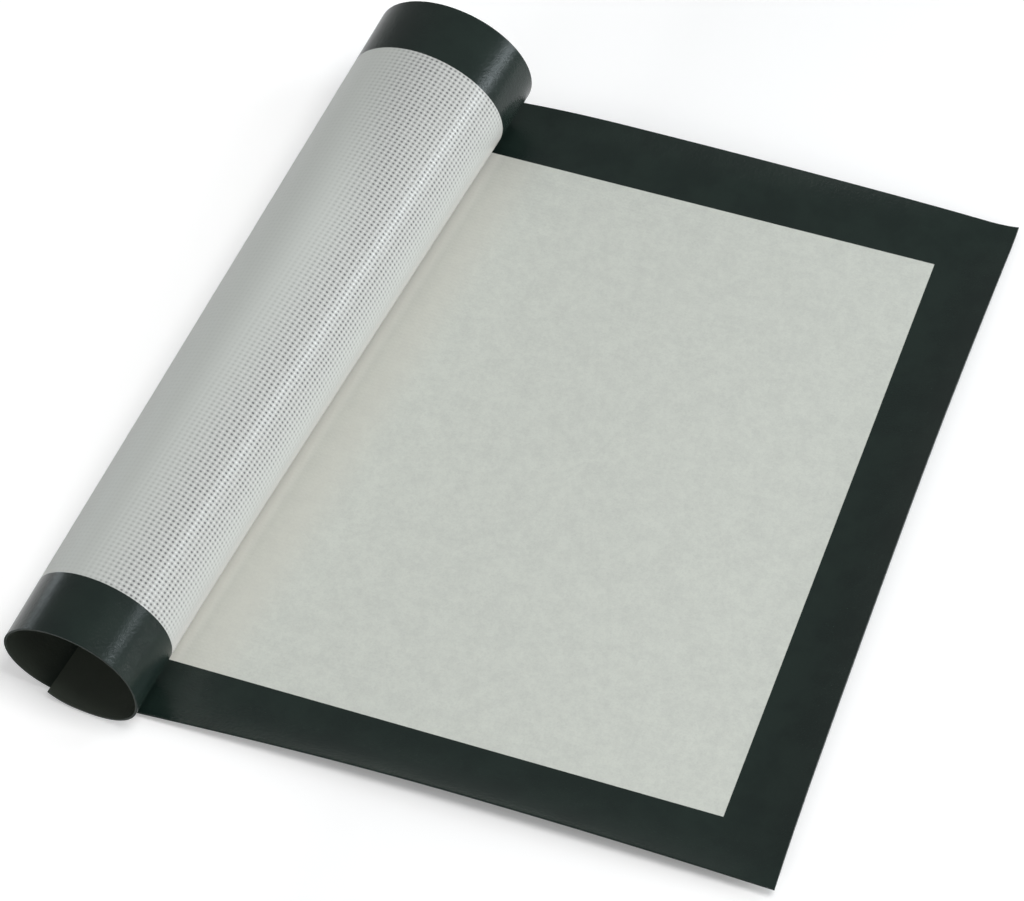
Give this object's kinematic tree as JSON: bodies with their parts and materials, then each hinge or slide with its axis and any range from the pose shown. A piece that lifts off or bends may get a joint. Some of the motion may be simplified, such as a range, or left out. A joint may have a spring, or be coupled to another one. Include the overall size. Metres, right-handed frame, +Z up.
{
  "type": "silicone baking mat",
  "caption": "Rectangular reusable baking mat of woven glass cloth between silicone coats, pale inside a dark border, lying flat with one end rolled up.",
  "frame": {"origin": "on the mat's underside, at mid-width and halfway along the flat run, on the plane that the mat lies on", "axes": "+X along the mat's length, away from the roll; +Y across the mat's width, towards the wider end of the roll; +Z up"},
  "size_m": [0.2642, 0.3075, 0.0513],
  "materials": {
    "glass_cloth": "matte",
    "pale_silicone_smooth": "satin",
    "pale_silicone_meshed": "satin",
    "dark_silicone": "satin"
  },
  "bodies": {
    "root": {"glass_cloth": "glass_cloth", "upper_coat": "pale_silicone_smooth", "lower_coat": "pale_silicone_meshed", "upper_border": "dark_silicone", "lower_border": "dark_silicone"}
  },
  "joints": []
}
